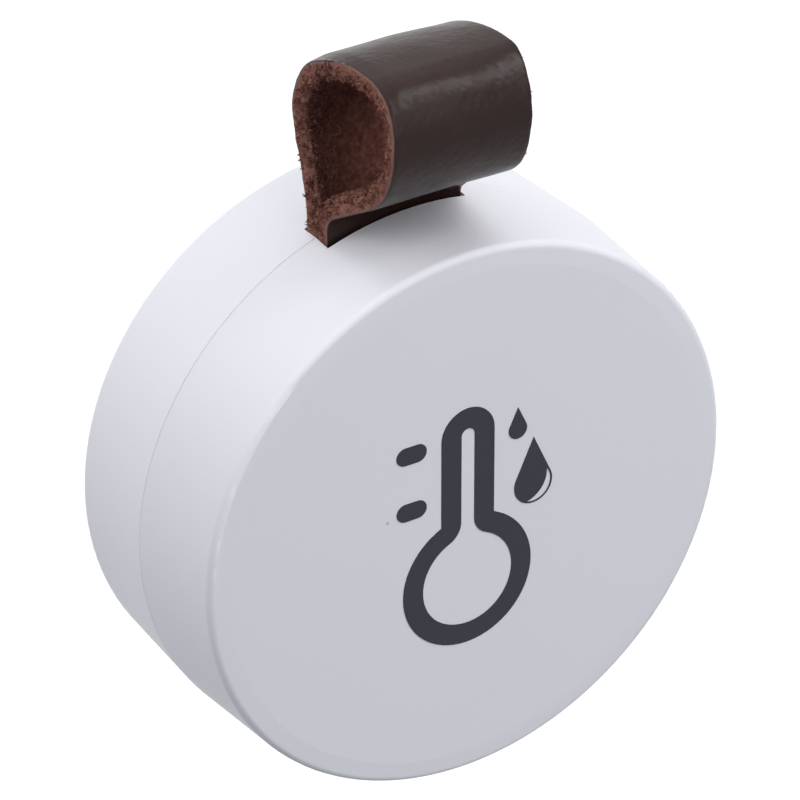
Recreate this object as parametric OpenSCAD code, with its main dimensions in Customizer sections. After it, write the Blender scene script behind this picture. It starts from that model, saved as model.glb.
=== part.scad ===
// Round temperature and humidity sensor with a leather hanging loop.
// Millimetres. The rear face is at y = 0 and the face looks to -Y. Z is up.

/* [Case] */
// Outer diameter at the seam, the widest place
case_d = 40; // [39:0.5:46]
// Depth of the front shell, from the face to the seam
front_depth = 8; // [7.8:0.1:8.6]
// How much smaller the radius is at the edge of the face
front_taper = 0.5; // [0.2:0.05:0.8]
// How much smaller the radius is at the edge of the rear face
rear_taper = 0.3; // [0.1:0.05:0.6]
// Rounding of the edge of the face
front_round = 0.5; // [0.4:0.05:1]
// Width of the shallow slope between that rounding and the flat of the face
face_slope_w = 1; // [0.6:0.1:2]
// How far the face falls back over that slope
face_slope_t = 0.05; // [0.02:0.01:0.12]
// Rounding of the edge of the rear face
rear_round = 0.25; // [0.2:0.05:1]
// Thickness of the side wall at the seam
side_wall = 1.7; // [1.5:0.05:2]
// Thickness of the wall behind the face
face_wall = 1.5; // [1.2:0.1:2]
// Thickness of the rear wall
rear_wall = 1.5; // [1.2:0.1:2]
// Gap between the two shells at the seam
seam_gap = 0.02; // [0.02:0.01:0.1]
// Small bevel on both edges of the seam
seam_bevel = 0.03; // [0.03:0.01:0.15]
// Length of the lip that the rear shell pushes over
lip_len = 1.5; // [1:0.1:2]
// Thickness of the lip
lip_t = 0.8; // [0.6:0.05:0.9]
// Clearance around the lip
lip_clear = 0.06; // [0.04:0.01:0.1]
// Width of the notch for prying the rear shell off
pry_w = 6; // [4:0.5:8]
// Height of the notch along the side
pry_h = 0.8; // [0.5:0.1:1.2]
// Depth of the notch into the side wall
pry_deep = 0.6; // [0.4:0.05:0.7]
// Bevel in the inner corners of both shells
corner_bevel = 0.8; // [0.5:0.1:1]
// Room at the end of the lip
lip_end = 0.1; // [0.05:0.05:0.3]

/* [Air slots] */
// Width of one air slot around the rim
slot_w = 1; // [0.8:0.1:1.2]
// Length of one air slot
slot_len = 3.4; // [2.4:0.2:3.8]
// Angle from one air slot to the next
slot_step = 9; // [8:0.5:11]
// How far the air slots reach past the front of the board
slot_past = 0.9; // [0.6:0.1:1]

/* [Print on the face] */
// Thickness of the print
print_t = 0.04; // [0.02:0.01:0.1]
// Width of the thermometer's outline
print_line = 1.5; // [1.2:0.05:1.7]
// Radius of the thermometer's bulb
bulb_r = 4.9; // [4.4:0.1:5.4]
// Half of the thermometer's stem
stem_r = 2; // [1.8:0.05:2.2]
// Middle of the bulb, below the middle of the face
bulb_drop = 4.4; // [4:0.1:5]
// Top of the stem, above the middle of the face
stem_top = 8.45; // [7.5:0.05:9]
// Length of a tick mark
tick_len = 2.25; // [1.8:0.05:2.5]
// Thickness of a tick mark
tick_t = 1.3; // [1:0.05:1.5]
// Radius of the large drop
big_drop_r = 1.46; // [1.2:0.02:1.6]
// Radius of the small drop
small_drop_r = 0.7; // [0.6:0.02:0.8]
// Middle of the thermometer, left of the middle of the face
stem_left = 0.38; // [0:0.02:0.6]
// Middle of the tick marks, left of the middle of the face
tick_left = 4.62; // [4.2:0.02:5]
// Height of the upper tick mark
tick_high = 6.33; // [5.8:0.01:6.8]
// Height of the lower tick mark
tick_low = 2.15; // [1.6:0.05:2.6]
// Large drop, right of the middle of the face
big_drop_x = 4.64; // [4.3:0.02:5]
// Height of the large drop's round end
big_drop_z = 1.2; // [0.8:0.05:1.6]
// Length of the large drop from the middle of its round end to its tip
big_drop_len = 3.5; // [3:0.05:4]
// Outline left around the light spot in the large drop
drop_line = 0.12; // [0.1:0.02:0.4]
// Radius of the curve on the inner side of the light spot
spot_r = 1.93; // [1.8:0.01:2]
// Middle of that curve, left of the middle of the drop's round end
spot_left = 0.88; // [0.8:0.02:1]
// Middle of that curve, above the middle of the drop's round end
spot_up = 0.64; // [0.56:0.02:0.72]
// Small drop, right of the middle of the face
small_drop_x = 3.41; // [3.2:0.01:3.6]
// Height of the small drop's round end
small_drop_z = 5.66; // [5.4:0.02:6]
// Length of the small drop from the middle of its round end to its tip
small_drop_len = 1.64; // [1.4:0.02:1.8]

/* [Strap] */
// Width of the leather strip
strap_w = 10; // [8:0.5:11]
// Thickness of the leather
strap_t = 1.32; // [1.2:0.02:1.5]
// Gap between the two ends of the strip
strap_gap = 0.06; // [0.04:0.02:0.12]
// Middle of the strip, across the case
strap_x = -1.55; // [-2.5:0.05:0]
// Clearance of the strip in its slot
strap_clear = 0.1; // [0.08:0.02:0.2]
// Length of the ends inside the side wall
tail_len = 4.6; // [4.2:0.1:5]
// Diameter of the two pegs that hold the ends
peg_d = 1.6; // [1.4:0.1:2]
// Distance between the pegs
peg_pitch = 5.2; // [4.6:0.2:6]
// Clearance of a peg in the leather and in its socket
peg_clear = 0.1; // [0.06:0.02:0.14]
// Distance from the end of the strip to the pegs
peg_in = 2.1; // [2:0.1:2.2]
// Wall of a peg's boss around the peg
peg_wall = 1; // [0.9:0.05:1.05]
// How far a peg reaches past the strip
peg_out = 0.6; // [0.4:0.1:0.8]
// Gap from a boss to the strip
seat_gap = 0.05; // [0.03:0.01:0.1]
// How far the ends stop below the outside of the case
tail_sink = 0.3; // [0.25:0.05:0.4]

/* [Loop] */
// Radius of the bend where the front of the loop leaves the case
foot_r = 2.2; // [2:0.1:2.6]
// Slope of the underside of the loop
foot_slope = 31.5; // [28:0.5:34]
// Radius of the belly
belly_r = 5.7; // [5.3:0.1:6.1]
// Radius of the front of the crown
crown_r = 2.05; // [1.8:0.05:2.4]
// Radius of the top
top_r = 11.5; // [10.5:0.25:12.5]
// Radius of the back of the crown
back_r = 4.85; // [4.5:0.05:5.2]
// Radius of the bend where the back of the loop enters the case
heel_r = 8; // [6:0.5:9]
// Height of the tilting line over the side of the case
pivot_h = 0.9; // [0.9:0.05:1.1]
// Radius of the round end that the loop tilts on
pivot_r = 1.3; // [1.25:0.01:1.32]
// Clearance around the round end
pivot_clear = 0.05; // [0.03:0.01:0.08]
// How far the front of the loop reaches down beside the round end
pivot_skirt = 0.4; // [0.2:0.05:0.4]
// Start of the bends below the outside of the case
bend_sink = 0.3; // [0.2:0.05:0.4]

/* [Board] */
// Thickness of the board
board_t = 1; // [0.8:0.1:1.2]
// Room for components between the face wall and the board
part_room = 2.8; // [2.6:0.1:3.4]
// Gap from the edge of the board to the side wall
board_gap = 0.8; // [0.6:0.1:1]
// Diameter of a board screw
screw_d = 1.5; // [1.4:0.1:1.6]
// Diameter of a screw head
screw_head_d = 2.6; // [2.2:0.1:2.6]
// Length of a screw below its head
screw_len = 3; // [2.6:0.1:3.2]
// Clearance of a screw in the board and its boss
screw_clear = 0.05; // [0.04:0.01:0.1]
// Wall of a screw boss around the screw
boss_wall = 1.1; // [0.8:0.1:1.2]
// Height of a screw head
screw_head_h = 0.9; // [0.7:0.1:1]
// Length of the crossed recess
drive_l = 1.6; // [1.2:0.1:1.8]
// Width of the crossed recess
drive_w = 0.35; // [0.3:0.05:0.5]
// Depth of the crossed recess
drive_deep = 0.4; // [0.3:0.05:0.5]
// Gap from the ends of the strip to the board
board_drop = 0.5; // [0.4:0.1:0.8]
// Gap from the top of the board to the holder
holder_drop = 0.3; // [0.2:0.1:0.6]
// Radius of the two rests under the lower part of the board
rest_r = 1.1; // [0.9:0.1:1.3]
// Distance from the edge of the board to the middle of a rest
rest_in = 1.4; // [1.2:0.1:1.6]

/* [Components] */
// Grid that the components are placed on
part_grid = 1.5; // [1.4:0.05:1.6]
// Width of the radio chip
chip_w = 5; // [4:0.5:5]
// Height of the radio chip
chip_h = 0.85; // [0.7:0.05:1]
// Radius of the mark on the radio chip
chip_dot = 0.3; // [0.2:0.05:0.4]
// Length of the crystal
crystal_l = 3.2; // [2.5:0.1:3.2]
// Width of the crystal
crystal_w = 2.5; // [2:0.1:2.5]
// Height of the crystal
crystal_h = 0.7; // [0.6:0.05:0.9]
// Width of the sensor
sensor_w = 2.5; // [2:0.1:2.6]
// Height of the sensor
sensor_h = 0.9; // [0.7:0.05:1]
// Radius of the sensor's opening
sensor_eye = 0.5; // [0.3:0.05:0.6]
// Distance from the edge of the board to the middle of the sensor
sensor_in = 2; // [1.8:0.1:2.4]
// Length of the lamp
led_l = 1.6; // [1.6:0.1:2]
// Width of the lamp
led_w = 0.8; // [0.8:0.05:1.2]
// Height of the lamp
led_h = 0.55; // [0.5:0.05:0.8]
// Length of a capacitor
cap_l = 1.6; // [1.4:0.1:1.7]
// Width and height of a capacitor
cap_w = 0.8; // [0.7:0.05:0.9]
// Length of a resistor
res_l = 1; // [0.9:0.1:1.2]
// Width of a resistor
res_w = 0.5; // [0.4:0.05:0.6]
// Height of a resistor
res_h = 0.35; // [0.3:0.05:0.4]
// Width of the aerial's track
track_w = 0.5; // [0.4:0.05:0.6]
// Thickness of the aerial's track
track_t = 0.04; // [0.03:0.01:0.07]
// Length of one run of the aerial
track_l = 5; // [4:0.25:5]
// Distance between runs of the aerial
track_pitch = 2; // [1.6:0.1:2]

/* [Pairing switch] */
// Width of the switch
switch_w = 2.8; // [2.4:0.1:3]
// Length of the switch
switch_l = 3.4; // [3:0.1:3.8]
// Height of the switch body
switch_h = 1.5; // [1.3:0.1:1.7]
// Diameter of the button
plunger_d = 1.4; // [1.2:0.1:1.6]
// How far the button stands out of the cover
plunger_out = 0.6; // [0.5:0.05:0.8]
// Travel of the button
press = 0.25; // [0.2:0.05:0.3]
// Sheet of the switch's metal cover and feet
frame_t = 0.15; // [0.1:0.05:0.2]
// Clearance around the button in the cover
plunger_clear = 0.1; // [0.08:0.02:0.15]
// Width of the button's collar
collar_w = 0.25; // [0.2:0.01:0.3]
// Floor of the switch body
switch_floor = 0.4; // [0.3:0.05:0.45]
// Room left under the dished spring when the button is fully pressed
dome_left = 0.07; // [0.05:0.01:0.1]
// Sheet of the dished spring
dome_t = 0.08; // [0.06:0.01:0.1]
// Size of a solder foot
lead_w = 0.6; // [0.5:0.05:0.7]

/* [Coin cell] */
// Diameter of the cell
cell_d = 24.5; // [23:0.5:24.5]
// Height of the cell
cell_h = 7.7; // [7:0.1:8]
// Gap from the cell to the rear wall
cell_gap = 0.5; // [0.4:0.1:0.8]
// Gap around the cell in its holder
cell_clear = 0.2; // [0.1:0.05:0.3]
// Sheet of the can and the cap
cell_sheet = 0.3; // [0.2:0.05:0.35]
// Wall of the holder
holder_wall = 1; // [0.8:0.1:1.1]
// Height of the holder's wall over the board
holder_h = 6; // [5:0.25:6.5]
// Floor of the holder
holder_floor = 0.6; // [0.5:0.1:0.8]
// Width of the two contacts
contact_w = 5; // [4:0.25:5.5]
// Sheet of the two contacts
contact_t = 0.2; // [0.15:0.05:0.25]
// Height of the negative contact's bump
bump_h = 0.2; // [0.15:0.05:0.25]
// Radius of the bump
bump_r = 1.6; // [1.2:0.1:2]
// Width of a contact's solder pin
pin_w = 1; // [0.8:0.1:1.2]
// How far a solder pin stands out in front of the board
pin_out = 0.6; // [0.4:0.1:0.8]
// Clearance around a solder pin
pin_clear = 0.1; // [0.08:0.02:0.15]
// Gap from the positive contact to the side of the cell
plus_gap = 0.1; // [0.05:0.05:0.15]
// Length of the positive contact's tab over the cell
tab_l = 2; // [1.5:0.1:2.5]
// Distance from the edge of the cell to the negative contact's pin
minus_in = 3; // [2.8:0.1:3.4]
// Length of the negative contact below the middle of the cell
minus_low = 3; // [2:0.25:4]
// Width of the rim that the can turns over the seal
crimp_w = 1; // [0.8:0.05:1.1]
// How far the cap stands out of the can
cap_out = 0.2; // [0.15:0.05:0.3]
// Rounding of the can
can_round = 0.7; // [0.5:0.05:0.8]
// Height of the cap inside the can
cap_h = 1.1; // [1:0.05:1.2]
// Thickness of the seal
seal_t = 0.3; // [0.25:0.01:0.32]
// Gap between the pieces of the cell
cell_slit = 0.02; // [0.01:0.01:0.03]
// Width of the ledge that the cell stands on
ledge_w = 0.9; // [0.7:0.05:1]
// Width of a finger gap in the holder
finger_w = 8; // [7:0.5:9]
// Height of the holder's wall left under a finger gap
finger_rest = 2; // [1.5:0.25:2.5]

/* [Hidden] */
$fn = 72;
e = 0.01;
case_r = case_d / 2;
inner_r = case_r - side_wall;
// The depth follows from what the case holds
case_depth = face_wall + part_room + board_t + holder_floor + contact_t + bump_h + cell_h
    + cell_gap + rear_wall;
y_face = -case_depth;
y_face_in = y_face + face_wall;
y_board_f = y_face_in + part_room;
y_board_r = y_board_f + board_t;
y_floor = y_board_r + holder_floor;
y_cell_f = y_floor + contact_t + bump_h;
y_cell_r = y_cell_f + cell_h;
y_rear_in = -rear_wall;
y_seam = y_face + front_depth;
lip_r = inner_r + lip_t;

// Strap
neck_t = strap_t + strap_gap / 2;
slot_t = neck_t + strap_clear;
tail_z = inner_r - tail_len;
tail_top = case_r - tail_sink;
peg_z = tail_z + peg_in;
peg_r = peg_d / 2;
peg_boss_r = peg_r + peg_wall;
pivot_z = case_r + pivot_h;

// Board and cell
board_r = inner_r - board_gap;
board_top = tail_z - board_drop;
cell_r = cell_d / 2;
holder_in = cell_r + cell_clear;
holder_r = holder_in + holder_wall;
cell_z = board_top - holder_drop - holder_r;
screw_r = screw_d / 2;
boss_r = screw_r + boss_wall;
screw_angles = [10, 45, 135, 170];
switch_angle = 27.5;
rest_angles = [235, 305];
finger_angles = [240, 300];
minus_z = cell_z + cell_r - minus_in;
plus_x = -cell_r - plus_gap - contact_t / 2;
y_cover = y_board_r + switch_h;
plunger_r = plunger_d / 2;
y_dome = y_board_r + switch_floor + dome_left + press + dome_t;
// Middle of the room between the holder and the edge of the board, in a direction from the middle of the case
function ring_at(a) = (board_r + cell_z * sin(a) + sqrt(pow(holder_r, 2) - pow(cell_z * cos(a), 2))) / 2;
function ring_x(a) = ring_at(a) * cos(a);
function ring_z(a) = ring_at(a) * sin(a);

// Turns a profile of radius and y around the Y axis
module turned() {
    rotate([-90, 0, 0])
        rotate_extrude($fn = 144)
            children();
}

// A round bar along +Y from y0 to y1
module bar(x, z, r, y0, y1) {
    translate([x, y0, z])
        rotate([-90, 0, 0])
            cylinder(r = r, h = y1 - y0);
}

// A block given by its middle in x and z, and its two ends in y
module block(x, z, w, h, y0, y1) {
    translate([x - w / 2, y0, z - h / 2])
        cube([w, y1 - y0, h]);
}

// A flat drawing in x and z with its back at y and its thickness toward -Y
module flat_on(y, t) {
    translate([0, y, 0])
        rotate([90, 0, 0])
            linear_extrude(height = t)
                children();
}

// An outline in y and z, made as wide as the strap
module across_strap() {
    translate([strap_x - strap_w / 2, 0, 0])
        rotate([90, 0, 90])
            linear_extrude(height = strap_w)
                children();
}

// The slot at the top that the strap comes out of
module strap_slot(back) {
    block(strap_x, case_r, strap_w + 2 * strap_clear, 2 * (case_r - tail_z), y_seam - slot_t,
        y_seam + back);
}

// Outline of the front shell, as radius and y
module front_profile() {
    edge_r = case_r - front_taper;
    edge_y = y_face + face_slope_t + front_round;
    top = y_seam - seam_gap / 2;
    difference() {
        union() {
            polygon([[0, y_face], [edge_r - front_round - face_slope_w, y_face],
                [edge_r - front_round, y_face + face_slope_t],
                [edge_r - front_round, edge_y], [edge_r, edge_y], [case_r, top - seam_bevel],
                [case_r - seam_bevel, top], [lip_r, top], [lip_r, y_seam + lip_len],
                [0, y_seam + lip_len]]);
            translate([edge_r - front_round, edge_y])
                circle(r = front_round);
        }
        polygon([[-1, y_face_in], [inner_r - corner_bevel, y_face_in], [inner_r, y_face_in + corner_bevel],
            [inner_r, y_seam + lip_len + 1], [-1, y_seam + lip_len + 1]]);
    }
}

// Outline of the rear shell, as radius and y
module rear_profile() {
    edge_r = case_r - rear_taper;
    low = y_seam + seam_gap / 2;
    difference() {
        union() {
            polygon([[0, 0], [edge_r - rear_round, 0], [edge_r - rear_round, -rear_round],
                [edge_r, -rear_round], [case_r, low + seam_bevel],
                [case_r - seam_bevel, low], [0, low]]);
            translate([edge_r - rear_round, -rear_round])
                circle(r = rear_round);
        }
        polygon([[-1, y_rear_in], [inner_r - corner_bevel, y_rear_in], [inner_r, y_rear_in - corner_bevel],
            [inner_r, y_seam + lip_len + lip_end], [lip_r + lip_clear, y_seam + lip_len + lip_end],
            [lip_r + lip_clear, low - 1], [-1, low - 1]]);
    }
}

// Front half of the case with the face, bosses for the board and pegs for the strap
module front_shell() {
    color([0.93, 0.93, 0.95])
    difference() {
        union() {
            difference() {
                turned() front_profile();
                strap_slot(slot_t + lip_len);
                for (i = [-2 : 2])
                    rotate([0, i * slot_step, 0])
                        block(0, -case_r, slot_w, 2 * side_wall + 2, y_board_f + slot_past - slot_len,
                            y_board_f + slot_past);
            }
            for (a = screw_angles)
                bar(ring_x(a), ring_z(a), boss_r, y_face_in - e, y_board_f);
            for (a = rest_angles)
                bar((board_r - rest_in) * cos(a), (board_r - rest_in) * sin(a), rest_r, y_face_in - e,
                    y_board_f);
            for (s = [-1, 1]) {
                bar(strap_x + s * peg_pitch / 2, peg_z, peg_boss_r, y_face_in - e,
                    y_seam - neck_t - seat_gap);
                bar(strap_x + s * peg_pitch / 2, peg_z, peg_r, y_face_in, y_seam + neck_t + peg_out);
            }
        }
        for (a = screw_angles)
            bar(ring_x(a), ring_z(a), screw_r + screw_clear, y_board_r - screw_len - screw_clear,
                y_board_f + 1);
    }
}

// Rear half of the case: pushes over the lip, clamps the strap and covers the cell
module rear_shell() {
    color([0.92, 0.92, 0.94])
    difference() {
        union() {
            difference() {
                turned() rear_profile();
                strap_slot(slot_t);
                block(0, -case_r, pry_w, 2 * pry_deep, y_seam - 1, y_seam + pry_h);
            }
            for (s = [-1, 1])
                bar(strap_x + s * peg_pitch / 2, peg_z, peg_boss_r, y_seam + neck_t + seat_gap,
                    y_rear_in + e);
        }
        for (s = [-1, 1])
            bar(strap_x + s * peg_pitch / 2, peg_z, peg_r + peg_clear, y_seam,
                y_seam + neck_t + peg_out + peg_clear);
    }
}

// A drop of that radius whose tip is that far from the middle of its round end
module drop(x, z, r, reach) {
    side = acos(r / reach);
    translate([x, z])
        circle(r = r);
    polygon([[x, z + reach], [x - r * sin(side), z + r * cos(side)], [x, z],
        [x + r * sin(side), z + r * cos(side)]]);
}

// A tick mark with round ends
module tick(x, z) {
    half = (tick_len - tick_t) / 2;
    translate([x - half, z - tick_t / 2])
        square([2 * half, tick_t]);
    for (s = [-1, 1])
        translate([x + s * half, z])
            circle(r = tick_t / 2);
}

// Outline of the thermometer, at the same distance from its edge all round
module thermometer() {
    neck_z = sqrt(bulb_r * bulb_r - stem_r * stem_r);
    stem_end = stem_top + bulb_drop - stem_r;
    in_r = stem_r - print_line;
    difference() {
        union() {
            circle(r = bulb_r);
            translate([-stem_r, 0])
                square([2 * stem_r, stem_end]);
            translate([0, stem_end])
                circle(r = stem_r);
        }
        circle(r = bulb_r - print_line);
        translate([-in_r, neck_z - e])
            square([2 * in_r, stem_end - neck_z + e]);
        translate([0, stem_end])
            circle(r = in_r);
        difference() {
            polygon([[0, 0], [stem_r, neck_z], [-stem_r, neck_z]]);
            for (s = [-1, 1])
                translate([s * stem_r, neck_z])
                    circle(r = print_line);
        }
    }
}

// The flat dark print on the face, with a light spot in the large drop
module front_icon() {
    color([0.16, 0.17, 0.2])
    flat_on(y_face, print_t) {
        translate([-stem_left, -bulb_drop])
            thermometer();
        tick(-tick_left, tick_high);
        tick(-tick_left, tick_low);
        drop(small_drop_x, small_drop_z, small_drop_r, small_drop_len);
        difference() {
            drop(big_drop_x, big_drop_z, big_drop_r, big_drop_len);
            difference() {
                translate([big_drop_x, big_drop_z])
                    circle(r = big_drop_r - drop_line);
                translate([big_drop_x - spot_left, big_drop_z + spot_up])
                    circle(r = spot_r);
            }
        }
    }
}

// The middle line of the loop in steps of [forward, up, heading], from the front end to the back end
function turn(r, a, b) = b > a
    ? [r * (sin(b) - sin(a)), r * (cos(a) - cos(b))]
    : [r * (sin(a) - sin(b)), r * (cos(b) - cos(a))];
function bend(p, r, a, b, n) = [for (i = [0 : n])
    let (h = a + (b - a) * i / n, d = turn(r, a, h)) [p[0] + d[0], p[1] + d[1], h]];
crown_from = 105;
top_from = 175;
back_from = 206;
heel_slope = 278.7;
mid_t = strap_t / 2 + strap_gap / 2;
foot = turn(foot_r, 90, foot_slope);
belly = turn(belly_r, foot_slope, crown_from);
crown = turn(crown_r, crown_from, top_from);
roof = turn(top_r, top_from, back_from);
back = turn(back_r, back_from, heel_slope);
heel = turn(heel_r, heel_slope, 270);
// The two straight stretches that bring the loop back to the slot
need = [-2 * mid_t, 0] - foot - belly - crown - roof - back - heel;
across = cos(foot_slope) * sin(heel_slope) - cos(heel_slope) * sin(foot_slope);
under_len = (need[0] * sin(heel_slope) - need[1] * cos(heel_slope)) / across;
behind_len = (cos(foot_slope) * need[1] - sin(foot_slope) * need[0]) / across;
p0 = [mid_t, case_r - bend_sink];
p1 = p0 + foot + under_len * [cos(foot_slope), sin(foot_slope)];
p2 = p1 + belly;
p3 = p2 + crown;
p4 = p3 + roof;
p5 = p4 + back + behind_len * [cos(heel_slope), sin(heel_slope)];
loop_line = concat(bend(p0, foot_r, 90, foot_slope, 8), bend(p1, belly_r, foot_slope, crown_from, 12),
    bend(p2, crown_r, crown_from, top_from, 10), bend(p3, top_r, top_from, back_from, 8),
    bend(p4, back_r, back_from, heel_slope, 12), bend(p5, heel_r, heel_slope, 270, 4));
// The line moved sideways, to the outside of the loop for a positive distance
function beside(d) = [for (q = loop_line)
    [y_seam - (q[0] + d * sin(q[2])), q[1] - d * cos(q[2])]];
function reversed(list) = [for (i = [len(list) - 1 : -1 : 0]) list[i]];

// The leather outside the case, with a round end that it tilts on
module strap_loop() {
    color([0.27, 0.21, 0.19])
    union() {
        difference() {
            across_strap()
                polygon(concat(beside(strap_t / 2), reversed(beside(-strap_t / 2))));
            block(strap_x, pivot_z - pivot_skirt - case_r / 2, strap_w + 2, case_r, y_seam - case_r,
                y_seam);
            block(strap_x, pivot_z - case_r / 2, strap_w + 2, case_r, y_seam - e, y_seam + case_r);
        }
        translate([strap_x - strap_w / 2, y_seam, pivot_z])
            rotate([0, 90, 0])
                cylinder(r = pivot_r, h = strap_w);
    }
}

// The two ends of the strip inside the case, with holes for the pegs
module strap_tail() {
    color([0.3, 0.23, 0.2])
    for (s = [0, 1])
        difference() {
            block(strap_x, (tail_z + tail_top) / 2, strap_w, tail_top - tail_z,
                y_seam + (s == 0 ? -neck_t : strap_gap / 2),
                y_seam + (s == 0 ? -strap_gap / 2 : neck_t));
            translate([strap_x - strap_w / 2 - 1, y_seam, pivot_z])
                rotate([0, 90, 0])
                    cylinder(r = pivot_r + pivot_clear, h = strap_w + 2);
            for (k = [-1, 1])
                bar(strap_x + k * peg_pitch / 2, peg_z, peg_r + peg_clear, y_seam - 2 * neck_t,
                    y_seam + 2 * neck_t);
        }
}

// Board with its holes for screws and contact pins
module circuit_board() {
    color([0.08, 0.3, 0.18])
    difference() {
        bar(0, 0, board_r, y_board_f, y_board_r);
        block(0, board_top + board_r / 2, 2 * board_r, board_r, y_board_f - 1, y_board_r + 1);
        for (a = screw_angles)
            bar(ring_x(a), ring_z(a), screw_r + screw_clear, y_board_f - 1, y_board_r + 1);
        block(0, minus_z, pin_w + 2 * pin_clear, contact_t + 2 * pin_clear, y_board_f - 1, y_board_r + 1);
        block(plus_x, cell_z, contact_t + 2 * pin_clear, pin_w + 2 * pin_clear, y_board_f - 1,
            y_board_r + 1);
    }
}

// Four self-cutting screws with crossed recesses
module board_screws() {
    top = y_board_r + screw_head_h;
    color([0.7, 0.7, 0.72])
    for (a = screw_angles) {
        x = ring_x(a);
        z = ring_z(a);
        difference() {
            union() {
                bar(x, z, screw_head_d / 2, y_board_r, top);
                bar(x, z, screw_r, y_board_r - screw_len, y_board_r + e);
            }
            block(x, z, drive_l, drive_w, top - drive_deep, top + 1);
            block(x, z, drive_w, drive_l, top - drive_deep, top + 1);
        }
    }
}

// Flat square package with a dot that marks its first pad
module radio_chip() {
    x = -5 * part_grid;
    z = 2.7 * part_grid;
    color([0.1, 0.1, 0.11])
    difference() {
        block(x, z, chip_w, chip_w, y_board_f - chip_h, y_board_f);
        bar(x - chip_w / 2 + 2.4 * chip_dot, z + chip_w / 2 - 2.4 * chip_dot, chip_dot,
            y_board_f - chip_h - 1, y_board_f - chip_h + chip_dot / 6);
    }
}

// Crystal: a base with a metal lid
module crystal() {
    x = -5 * part_grid;
    z = -1.1 * part_grid;
    base_h = crystal_h * 0.55;
    color([0.75, 0.74, 0.7])
    union() {
        block(x, z, crystal_l, crystal_w, y_board_f - base_h, y_board_f);
        block(x, z, crystal_l * 0.84, crystal_w * 0.8, y_board_f - crystal_h, y_board_f - base_h + e);
    }
}

// Folded track beside the middle of the board
module trace_antenna() {
    x = 6.5 * part_grid;
    end = (track_l - track_w) / 2;
    color([0.8, 0.6, 0.25])
    union() {
        for (i = [0 : 5])
            block(x, (i - 2.5) * track_pitch, track_l, track_w, y_board_f - track_t, y_board_f);
        for (i = [0 : 4])
            block(i % 2 == 0 ? x + end : x - end, (i - 2) * track_pitch, track_w, track_pitch + track_w,
                y_board_f - track_t, y_board_f);
    }
}

// Small square sensor with a round opening for the air
module humidity_sensor() {
    z = sensor_in - board_r;
    color([0.12, 0.12, 0.13])
    difference() {
        block(0, z, sensor_w, sensor_w, y_board_f - sensor_h, y_board_f);
        bar(0, z, sensor_eye, y_board_f - sensor_h - 1, y_board_f - sensor_h * 0.65);
    }
}

// Lamp that shines through the face wall
module status_led() {
    x = 3 * part_grid;
    z = 6 * part_grid;
    base_h = led_h * 0.55;
    color([0.95, 0.95, 0.85])
    union() {
        block(x, z, led_l, led_w, y_board_f - base_h, y_board_f);
        block(x, z, led_l * 0.62, led_w, y_board_f - led_h, y_board_f - base_h + e);
    }
}

module capacitors() {
    color([0.65, 0.52, 0.38])
    for (p = [[0, 3], [0, 1.7], [-2, 3], [-2, 1.7], [-5, -3], [2, -8.3]])
        block(p[0] * part_grid, p[1] * part_grid, cap_l, cap_w, y_board_f - cap_w, y_board_f);
}

module resistors() {
    color([0.15, 0.15, 0.17])
    for (p = [[-2, 4.7], [2, 3], [-2, -8.3], [-3, -0.7], [-3, -1.7]])
        block(p[0] * part_grid, p[1] * part_grid, res_l, res_w, y_board_f - res_h, y_board_f);
}

// Puts the pairing switch between two screws, turned outward
module at_switch() {
    translate([ring_x(switch_angle), 0, ring_z(switch_angle)])
        rotate([0, -switch_angle, 0])
            children();
}

// Housing of the pairing switch
module switch_body() {
    color([0.1, 0.1, 0.1])
    at_switch()
        difference() {
            block(0, 0, switch_w, switch_l, y_board_r, y_cover);
            bar(0, 0, plunger_r + collar_w + plunger_clear, y_board_r + switch_floor, y_cover + 1);
        }
}

// Metal cover of the switch
module switch_frame() {
    color([0.78, 0.78, 0.78])
    at_switch()
        difference() {
            block(0, 0, switch_w, switch_l, y_cover, y_cover + frame_t);
            bar(0, 0, plunger_r + plunger_clear, y_board_r, y_cover + 1);
        }
}

// Button of the switch, with a collar that the cover holds in
module switch_plunger() {
    color([0.2, 0.2, 0.2])
    at_switch()
        union() {
            bar(0, 0, plunger_r, y_dome, y_cover + frame_t + plunger_out);
            bar(0, 0, plunger_r + collar_w, y_dome, y_cover - plunger_clear / 2);
        }
}

// Thin dished spring under the button
module switch_dome() {
    r = plunger_r + collar_w + plunger_clear / 2;
    flat = plunger_r / 3;
    low = y_board_r + switch_floor;
    color([0.8, 0.79, 0.75])
    at_switch()
        turned()
            polygon([[0, y_dome - dome_t], [flat, y_dome - dome_t], [r, low], [r, low + dome_t],
                [flat, y_dome], [0, y_dome]]);
}

// Four solder feet of the switch
module switch_leads() {
    color([0.78, 0.76, 0.7])
    at_switch()
        for (sx = [-1, 1], sz = [-1, 1])
            block(sx * (switch_w - lead_w) / 2, sz * (switch_l + lead_w) / 2, lead_w, lead_w, y_board_r,
                y_board_r + frame_t);
}

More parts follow.
